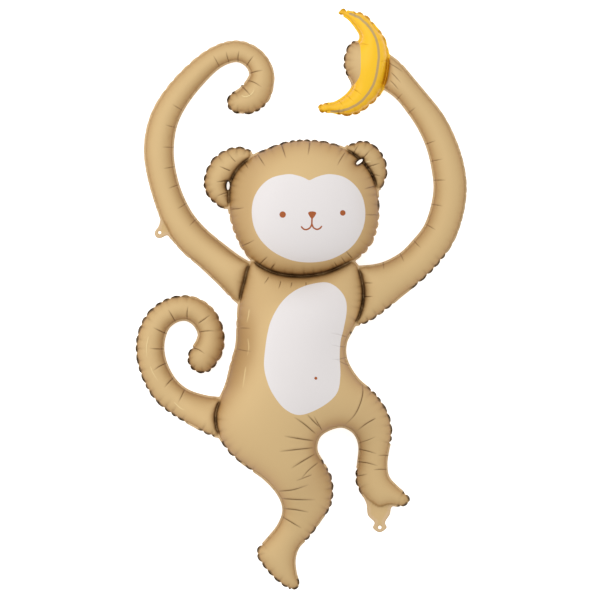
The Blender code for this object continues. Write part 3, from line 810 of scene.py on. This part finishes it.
class SeamFinder:
    """Finds the nearest place along any of a chamber's welds."""

    def __init__(self, seams):
        names = ("near", "strength", "run", "middle", "convex", "dark", "right", "up")
        self.values = {name: np.concatenate([getattr(seam, name) for seam in seams]) for name in names}
        self.tree = tree_of(np.vstack([seam.points for seam in seams]))

    def at(self, points):
        """What the nearest weld is like at each point, and the gap to it."""
        found = [self.tree.find((x, y, 0)) for x, y in points]
        index, gap = np.array([hit[1] for hit in found]), np.array([hit[2] for hit in found])
        return {name: values[index] for name, values in self.values.items()} | {"gap": gap}


class FineEnvelope(Envelope):
    """The envelope with its puckers and creases."""

    def __init__(self):
        super().__init__(FINE_GRID)
        grid = self.grid
        self.foil_field = self.pattern.foil(grid.points)
        chambers = [signed_distance(grid.points, loop) for loop in self.pattern.chambers.values()]
        self.chamber_field = np.minimum.reduce(chambers)
        self.inflated_field = np.minimum.reduce(list(self.fields.values()))
        lines = grid.contours(self.foil_field, 0)
        self.outlines = [Seam(line, OUTLINE_SEED + k) for k, line in enumerate(lines)]
        for seam in self.outlines:
            chamber_gap = grid.read(self.inflated_field, seam.points)
            seam.convex = seam.convex * np.clip((TAB_START - chamber_gap) / TAB_FADE, 0, 1)
        self.edge = SeamFinder(self.outlines)
        self.finders = {}
        for k, (name, field) in enumerate(self.fields.items()):
            welds = [Seam(line, WELD_SEED + 10 * k + j) for j, line in enumerate(grid.contours(field, 0))]
            self.finders[name] = SeamFinder(welds)

    def surface(self, points, front):
        """The welds' height and one foil's at each point, how it shifts, and what its look depends on."""
        names = list(self.fields)
        stack = np.stack([self.grid.read(self.fields[name], points) for name in names])
        which = stack.argmin(axis=0)
        depth = -stack.min(axis=0)
        seam = self.edge.at(points)
        on_outline = np.clip(1 - (seam["gap"] - (depth + SEAM_MARGIN) - OUTLINE_SLACK) / OUTLINE_FADE, 0, 1)
        height = np.full(len(points), THIN / 2)
        dark, shift = np.zeros(len(points)), np.zeros((len(points), 2))
        for k, name in enumerate(names):
            chosen = which == k
            if chosen.any():
                found = self.puckered(name, points[chosen], depth[chosen], on_outline[chosen])
                height[chosen] += found[0]
                dark[chosen], shift[chosen] = found[1:]
        outside = np.clip(-depth, 0, SEAM_MARGIN)
        between = TURNED_AT_PUCKER + (1 - TURNED_AT_PUCKER) * seam["middle"]
        turned = TURNED_BACK * seam["convex"] * (outside / SEAM_MARGIN) ** TURNED_CURVE * between
        weld = self.weld_height(points) - turned * np.clip((TAB_START + depth) / TAB_FADE, 0, 1)
        crease, glint = np.zeros(len(points)), np.zeros(len(points))
        if front:
            deep, crease, glint = creased(points)
            height = height - deep
        look = {"pucker": dark, "crease": crease, "glint": glint, "outside": outside, "depth": depth}
        look |= {name: seam[name] for name in ("convex", "middle", "dark")}
        return weld, np.maximum(height, THIN / 2), shift, look

    def puckered(self, name, points, depth, on_outline):
        """A chamber's foil with its puckers: its lift, how much painted shade the folds get, and its shift
        outwards.
        """
        inside = np.maximum(depth, 0)
        near = self.finders[name].at(points)
        strength = near["strength"] * (FAINTEST_PUCKER + (1 - FAINTEST_PUCKER) * near["convex"])
        run = PUCKER_RUN * near["run"]
        fold = np.maximum(1 - near["near"] / (PUCKER_WIDTH + PUCKER_WIDENING * inside), 0) ** PUCKER_FOLD
        fade = np.exp(-((inside / run) ** PUCKER_END))
        puff = (1 - (1 - near["middle"]) ** 2) * np.exp(-inside / (PUFF_RUN * run))
        cut = PUCKER_CUT * strength * fold * fade
        lift = self.lift(name, points, inside) * (1 - cut + PUFF * near["convex"] * puff)
        # painted shade in the pucker's fold
        dark = strength * near["dark"] * fold * fade * (depth > 0)
        beyond = np.clip(-depth, 0, SEAM_MARGIN) / SEAM_MARGIN
        reach = (1 - beyond) * np.exp(-inside / FILLED_OUT_REACH) * on_outline
        filled = FILLED_AT_PUCKER + (1 - FILLED_AT_PUCKER) * near["middle"]
        full = near["convex"] * filled + FILLED_WHERE_CALM * (1 - near["convex"])
        move = FILLED_OUT * full * reach
        return lift, dark, move[:, None] * np.stack([near["right"], near["up"]], axis=1)


def along_path(path, points):
    """How far each point is from a line, and how far along the line, from 0 to 1, that is."""
    gap, place = np.full(len(points), 1.0), np.zeros(len(points))
    for k, (a, b) in enumerate(zip(path[:-1], path[1:])):
        span = b - a
        share = np.clip(((points - a) @ span) / (span @ span), 0, 1)
        off = np.linalg.norm(points - a - share[:, None] * span, axis=1)
        closer = off < gap
        gap[closer] = off[closer]
        place[closer] = (k + share[closer]) / (len(path) - 1)
    return gap, place


def creased(points):
    """How deep the creases are at each point, with a low ridge beside them, and their painted shade lines and
    painted highlight lines.
    """
    deep, dark, pale = (np.zeros(len(points)) for _ in range(3))
    for line, half_width, millimetres in CREASES:
        path = polyline(line, CREASE_STEP)
        half, size = half_width * SQUARE, MILLIMETRE * millimetres
        low, high = path.min(axis=0) - CREASE_REACH * half, path.max(axis=0) + CREASE_REACH * half
        near = ((points > low) & (points < high)).all(axis=1)
        if not near.any():
            continue
        gap, place = along_path(path, points[near])
        taper = np.clip(place / CREASE_START, 0, 1) ** CREASE_START_CURVE
        taper = taper * np.clip((1 - place) / CREASE_END, 0, 1) ** CREASE_END_CURVE
        valley = np.maximum(1 - gap / half, 0) ** VALLEY_CURVE
        ridge = RIDGE_HEIGHT * np.exp(-(((gap - RIDGE_PLACE * half) / (RIDGE_WIDTH * half)) ** 2))
        deep[near] += size * taper * (valley - ridge)
        # painted shade line along a crease, painted highlight line along a raised wrinkle
        strength = min(1, FAINTEST_LINE + LINE_A_MILLIMETRE * abs(millimetres))
        sharp = np.maximum(1 - gap / (CREASE_LINE * half), 0) * taper * strength
        line_there = dark if millimetres > 0 else pale
        line_there[near] = np.maximum(line_there[near], sharp)
    return deep, dark, pale


def thinned(candidates, taken, room):
    """The candidates that keep their distance from the points already taken and from each other."""
    tree = tree_of(taken)
    free = [point for point in candidates if tree.find((point[0], point[1], 0))[2] > room]
    cells, kept = {}, []
    for point in free:
        cell = (int(point[0] // room), int(point[1] // room))
        beside = [(cell[0] + i, cell[1] + j) for i in (-1, 0, 1) for j in (-1, 0, 1)]
        around = [q for one in beside for q in cells.get(one, ())]
        if all((q[0] - point[0]) ** 2 + (q[1] - point[1]) ** 2 > room * room for q in around):
            cells.setdefault(cell, []).append(point)
            kept.append(point)
    return kept


def lattice(step):
    """Points at the corners of even triangles, over the whole figure."""
    across = np.arange(-LATTICE_REACH[0], LATTICE_REACH[0], step)
    up = np.arange(-LATTICE_REACH[1], LATTICE_REACH[1], step * math.sqrt(3) / 2)
    return np.array([(x + (k % 2) * step / 2, y) for k, y in enumerate(up) for x in across])


def triangulated(envelope, rims, inner_loops, inner_lines, extra, step, ring_step, depths):
    """A foil's flat points and triangles, and the number of each rim point. No edge crosses a given line."""
    points, edges = [], []
    for loop in rims + inner_loops:
        first = len(points)
        points += [tuple(p) for p in loop]
        edges += [(first + k, first + (k + 1) % len(loop)) for k in range(len(loop))]
    for line in inner_lines:
        first = len(points)
        points += [tuple(p) for p in line]
        edges += [(first + k, first + k + 1) for k in range(len(line) - 1)]
    grid = envelope.grid
    rings = [ring for depth in depths for ring in grid.contours(envelope.inflated_field, -depth)]
    points += thinned([tuple(p) for p in extra], points, CREASE_ROOM)
    points += thinned([tuple(p) for ring in rings for p in evenly(ring, ring_step)], points, RING_ROOM)
    net = lattice(step)
    net = net[grid.read(envelope.foil_field, net) < -NET_INSET]
    points += thinned([tuple(p) for p in net], points, NET_ROOM * step)
    joined = geometry.delaunay_2d_cdt([Vector(p) for p in points], edges, [], 1, 1e-8)
    flat = np.array([tuple(p) for p in joined[0]])
    triangles = np.array([face for face in joined[2] if len(face) == 3])
    solid = envelope.pattern.in_hole(flat[triangles].mean(axis=1)) > 0
    came_from = {source: k for k, sources in enumerate(joined[3]) for source in sources}
    return flat, triangles[solid], [came_from[k] for k in range(sum(len(loop) for loop in rims))]


def crease_points(envelope):
    """Points along and beside each crease, so that the foil can fold there."""
    spots = []
    for line, half_width, _ in CREASES:
        path = polyline(line, CREASE_POINT_STEP)
        side = directions(path)[1]
        for offset in CREASE_OFFSETS:
            spots += list(path + offset * half_width * SQUARE * side)
    spots = np.array(spots)
    return spots[envelope.grid.read(envelope.foil_field, spots) < -CREASE_INSET]


def prints():
    """The outlines of what is printed on the front, each with its material's place in the list."""
    shapes = [
        (evenly(drawn(FACE_PRINT), FACE_STEP), WHITE),
        (evenly(drawn(BELLY_PRINT), BELLY_STEP), WHITE),
        (evenly(drawn(NOSE_PRINT), NOSE_STEP), BROWN),
        (stroke(BANANA_LINE, BANANA_LINE_HALF_WIDTH), GREY),
    ]
    shapes += [(dot(*numbers), BROWN) for numbers in DOTS]
    return shapes + [(stroke(line, MOUTH_HALF_WIDTH), BROWN) for line in MOUTH_LINES]


def inks(envelope, flat, triangles, shapes):
    """Which material each triangle of a foil is printed in."""
    middles = flat[triangles].mean(axis=1)
    banana = signed_distance(middles, envelope.pattern.chambers["banana"]) < 0
    fist = signed_distance(middles, on_sheet(FIST_PRINT)) < 0
    ink = np.where(banana & ~fist, YELLOW, BEIGE)
    for loop, colour in shapes:
        ink[signed_distance(middles, loop) < 0] = colour
    return ink


def looks(envelope, flat, look):
    """What the materials read at each point: how much painted shade each kind of fold, weld and turned margin
    gets, where painted highlights lie, and where the flat margin shows pale.
    """
    depth, outside, dark = look["depth"], look["outside"], look["dark"]
    inside = np.maximum(depth, 0)
    near_edge = -envelope.grid.read(envelope.foil_field, flat)
    near_chamber_edge = -envelope.grid.read(envelope.chamber_field, flat)
    # painted shade on the margin that turns back, in arcs between the puckers, standing in for the dark it
    # reflects
    margin = np.clip((ARC_WIDTH + depth) / ARC_FADE, 0, 1) * (depth < ARC_START)
    arcs = np.clip((outside + ARC_START) / (2 * ARC_START), 0, 1)
    arcs = arcs * np.clip(look["middle"] * ARC_GROWTH - ARC_GAP, 0, 1)
    x, y = flat.T
    (often_x, slant_x), (often_y, slant_y) = WAVES
    waves = np.sin(often_x * (x + slant_x * y)) * np.sin(often_y * (y + slant_y * x))
    uneven = 1 - UNEVENNESS + UNEVENNESS * waves
    # painted shade beside the welds between chambers, uneven along them
    between = np.clip((near_chamber_edge - SEAM_MARGIN - inside - BETWEEN_START) / BETWEEN_FADE, 0, 1)
    beside_weld = np.exp(-(np.maximum(depth, WELD_DARK) - WELD_DARK) / WELD_SHADE_REACH)
    flat_margin = np.clip(outside / FLAT_MARGIN_FADE, 0, 1) * (near_edge < FLAT_MARGIN)
    return {
        "pucker": look["pucker"],
        "crease": look["crease"],
        "glint": look["glint"],
        "turned_margin_shade": np.minimum(ARC_GAIN * look["convex"], 1) * dark * arcs * margin,
        # painted shade beside every weld
        "rim": np.exp(-inside / RIM_REACH) * (depth > -RIM_START),
        "flat_margin": (1 - look["convex"] * dark) * flat_margin,
        "partition_shade": between * uneven * beside_weld,
    }


def joining_faces(loops, front_rim, back_rim):
    """The narrow faces between the two foils, along every rim."""
    faces, first = [], 0
    for loop in loops:
        count = len(loop)
        for k in range(count):
            here, ahead = first + k, first + (k + 1) % count
            faces.append((front_rim[here], back_rim[here], back_rim[ahead]))
            faces.append((front_rim[here], back_rim[ahead], front_rim[ahead]))
        first += count
    return np.array(faces)


def foil_balloon(materials):
    """Both foils, joined along the outline and the holes, as one closed mesh in the printed materials."""
    envelope = FineEnvelope()
    rims = [seam.scalloped()[::2] for seam in envelope.outlines] + envelope.pattern.holes
    shapes = prints()
    fist = polyline(FIST_EDGE, FIST_EDGE_STEP)
    print_loops = [loop for loop, _ in shapes]
    front = triangulated(
        envelope, rims, print_loops, [fist], crease_points(envelope), FRONT_STEP, FRONT_RING_STEP, FRONT_RINGS
    )
    back = triangulated(envelope, rims, [], [], [], BACK_STEP, BACK_RING_STEP, BACK_RINGS)
    points, ink, attributes = [], [], []
    for (flat, triangles, _), is_front in ((front, True), (back, False)):
        weld, height, shift, look = envelope.surface(flat, is_front)
        z = weld + height if is_front else np.maximum(weld - height, 0)
        points.append(np.column_stack([flat + shift, z]))
        ink.append(inks(envelope, flat, triangles, shapes if is_front else []))
        attributes.append(looks(envelope, flat, look))
    offset = len(points[0])
    sides = joining_faces(rims, front[2], [k + offset for k in back[2]])
    faces = np.vstack([front[1], back[1][:, ::-1] + offset, sides])

    mesh = bpy.data.meshes.new("monkey_balloon_foil")
    mesh.from_pydata(np.vstack(points).tolist(), [], faces.tolist())
    for material in materials:
        mesh.materials.append(material)
    mesh.polygons.foreach_set("material_index", np.concatenate([*ink, np.full(len(sides), BEIGE)]))
    for name in attributes[0]:
        numbers = np.concatenate([values[name] for values in attributes])
        mesh.attributes.new(name, "FLOAT", "POINT").data.foreach_set("value", numbers.astype(np.float32))
    close_mesh(mesh)
    mesh.shade_smooth()
    balloon = bpy.data.objects.new("monkey_balloon_foil", mesh)
    bpy.context.scene.collection.objects.link(balloon)
    return balloon


def close_mesh(mesh):
    """Drops points without a face, turns the faces outwards and says whether the mesh is closed."""
    bm = bmesh.new()
    bm.from_mesh(mesh)
    bmesh.ops.delete(bm, geom=[v for v in bm.verts if not v.link_faces], context="VERTS")
    bmesh.ops.recalc_face_normals(bm, faces=bm.faces)
    open_edges = sum(1 for e in bm.edges if not e.is_manifold)
    print("foil:", len(bm.faces), "triangles,", open_edges, "open edges")
    bm.to_mesh(mesh)
    bm.free()


# Colours and materials
def linear(code):
    """A colour written as sRGB hex, as Blender's linear numbers."""
    parts = [int(code[k : k + 2], 16) / 255 for k in (1, 3, 5)]
    return [c / 12.92 if c <= 0.04045 else ((c + 0.055) / 1.055) ** 2.4 for c in parts] + [1]


def add(tree, kind, settings, inputs, output):
    """The output of a new shader node with its settings. Inputs are set to numbers or linked to sockets."""
    node = tree.nodes.new(kind)
    for name, value in settings.items():
        setattr(node, name, value)
    for place, value in inputs.items():
        if isinstance(value, bpy.types.NodeSocket):
            tree.links.new(value, node.inputs[place])
        else:
            node.inputs[place].default_value = value
    return node.outputs[output]


def attribute(tree, name):
    """One of the values that foil_balloon keeps at each point."""
    return add(tree, "ShaderNodeAttribute", {"attribute_name": name}, {}, "Fac")


def maths(tree, operation, a, b):
    """Two numbers put together by a sum, kept between 0 and 1 unless it is a power."""
    settings = {"operation": operation, "use_clamp": operation != "POWER"}
    return add(tree, "ShaderNodeMath", settings, {0: a, 1: b}, 0)


def over(tree, share, below, above):
    """One colour laid over another."""
    return add(tree, "ShaderNodeMix", {"data_type": "RGBA"}, {0: share, 6: below, 7: above}, 2)


def set_sockets(material, values):
    """A material's shader, with numbers and colours set on its own sockets."""
    material.use_nodes = True
    shader = material.node_tree.nodes["Principled BSDF"]
    for name, value in values.items():
        shader.inputs[name].default_value = value
    return shader


def foil_material(
    name, base, shade, deep, turned, metallic, roughness, specular, strength, margin=None, glint=None
):
    """Printed metallised polyester film.

    It has the base colour where it faces up, and painted shade in the shade colour where it turns away and
    beside its welds. Puckers, creases and the welds between chambers get the deep colour as painted shade and
    are more metallic there, standing in for the dark that foil mirrors in its folds. The margin that turns
    back between puckers gets a darker painted shade still, and raised wrinkles a painted highlight in the
    glint colour.
    """
    material = bpy.data.materials.new(name)
    sockets = {"Roughness": roughness, "Specular IOR Level": specular}
    shader = set_sockets(material, sockets)
    tree = material.node_tree
    # Painted shade: the colour turns towards the shade colour where the surface slopes away from facing up
    normal = add(tree, "ShaderNodeNewGeometry", {}, {}, "Normal")
    upright = maths(tree, "ABSOLUTE", add(tree, "ShaderNodeSeparateXYZ", {}, {0: normal}, "Z"), 0.0)
    steep = maths(tree, "POWER", maths(tree, "SUBTRACT", 1.0, upright), STEEP_POWER)
    colour = over(tree, maths(tree, "MULTIPLY", steep, STEEP_SHADE * strength), linear(base), linear(shade))
    # Painted shade beside the welds, the pale flat margin and, where a glint colour is given, a painted
    # highlight along raised wrinkles
    layers = [("rim", RIM_SHADE * strength, shade), ("flat_margin", MARGIN_SHARE, margin or base)]
    if glint:
        layers.append(("glint", GLINT_SHARE, glint))
    for layer, amount, tint in layers:
        colour = over(tree, maths(tree, "MULTIPLY", attribute(tree, layer), amount), colour, linear(tint))
    # Painted shade in puckers, creases, beside the welds between chambers and on the turned margin, more
    # metallic where it lies
    painted_fold_shade = 0.0
    for layer, amount in FOLD_SHARES.items():
        share = maths(tree, "MULTIPLY", attribute(tree, layer), amount * strength)
        colour = over(tree, share, colour, linear(turned if layer == "turned_margin_shade" else deep))
        painted_fold_shade = maths(tree, "MAXIMUM", painted_fold_shade, share)
    painted_fold_shade = maths(tree, "MULTIPLY", painted_fold_shade, FOLD_METALLIC)
    tree.links.new(maths(tree, "MAXIMUM", painted_fold_shade, metallic), shader.inputs["Metallic"])
    tree.links.new(colour, shader.inputs["Base Color"])
    return material


# Beige ink on metallised film: a satin skin, with painted shade that makes it warm brown at its flanks and
# nearly black in its folds, and a painted highlight along raised wrinkles
beige = foil_material(
    "beige_printed_foil", "#CAAD7D", "#8E5E20", "#48290C", "#2A1806",
    metallic=0.05, roughness=0.5, specular=0.12, strength=1.0, margin="#CDB18C", glint="#EBD9A4",
)
# Opaque white ink on the same film: matt and even, so the face and the belly get only half the painted shade
# at the foil's flanks and folds
white = foil_material(
    "white_printed_foil", "#D8D3D2", "#C6C0BD", "#8A7F78", "#5A5048",
    metallic=0.0, roughness=0.55, specular=0.25, strength=0.5,
)
# Yellow ink on the same film: glossier than the beige, with painted orange shade at its flanks
yellow = foil_material(
    "yellow_printed_foil", "#EEBC20", "#D6960A", "#B07408", "#A0660A",
    metallic=0.0, roughness=0.32, specular=0.3, strength=0.85,
)
# Brown ink over the white: the flat, matt red-brown of the eyes, nose, mouth and navel
brown = foil_material(
    "brown_printed_foil", "#9C5226", "#8E4222", "#5A2812", "#3A180A",
    metallic=0.0, roughness=0.5, specular=0.25, strength=0.5,
)
# Grey-brown ink over the yellow: the soft line along the banana
grey = foil_material(
    "grey_brown_printed_foil", "#BC9C62", "#8E7450", "#5A4424", "#3A2A14",
    metallic=0.0, roughness=0.4, specular=0.3, strength=0.5,
)

for thing in list(bpy.context.selected_objects):
    thing.select_set(False)

balloon = foil_balloon([beige, white, yellow, brown, grey])
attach(balloon, "root")
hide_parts("monkey_balloon")

# Floor: matt white paper that is lit through a little, so that it stays as white as a studio's backdrop
bpy.ops.mesh.primitive_plane_add(size=FLOOR_SIZE, location=(0, 0, -FLOOR_GAP))
floor = bpy.context.active_object
floor.name = "floor"
paper = bpy.data.materials.new("white_paper")
paper_look = {"Base Color": linear("#DCDCDC"), "Roughness": 0.9}
set_sockets(paper, paper_look | {"Emission Color": linear("#FFFFFF"), "Emission Strength": 0.75})
floor.data.materials.append(paper)


# Light
def area_light(name, place, size, power):
    """A square softbox that faces the balloon's middle."""
    light = bpy.data.lights.new(name, "AREA")
    light.size, light.energy = size, power
    lamp = bpy.data.objects.new(name, light)
    lamp.location = place
    lamp.rotation_mode = "QUATERNION"
    lamp.rotation_quaternion = (-Vector(place)).to_track_quat("-Z", "Y")
    bpy.context.scene.collection.objects.link(lamp)


area_light("overhead_softbox", (-0.5, 1.3, 2.4), size=2.4, power=25)
area_light("left_softbox", (-2.0, 0.2, 1.5), size=1.8, power=11)
area_light("right_softbox", (2.0, -0.4, 1.6), size=1.8, power=3)
world = bpy.data.worlds.new("studio")
bpy.context.scene.world = world
world.use_nodes = True
background = world.node_tree.nodes["Background"]
background.inputs["Color"].default_value = linear("#FFFFFF")
background.inputs["Strength"].default_value = 0.80

# Camera, far over the balloon and looking straight down
camera_data = bpy.data.cameras.new("camera")
camera = bpy.data.objects.new("camera", camera_data)
bpy.context.scene.collection.objects.link(camera)
camera_data.sensor_width = SENSOR_WIDTH
camera_data.lens = SENSOR_WIDTH * (CAMERA_HEIGHT - SEAM_PLANE) / (VIEW_SQUARES * SQUARE)
view_middle = on_sheet([(VIEW_SQUARES / 2, VIEW_SQUARES / 2)])[0]
camera.location = (view_middle[0], view_middle[1], CAMERA_HEIGHT)
bpy.context.scene.camera = camera
bpy.context.scene.view_settings.view_transform = "Standard"
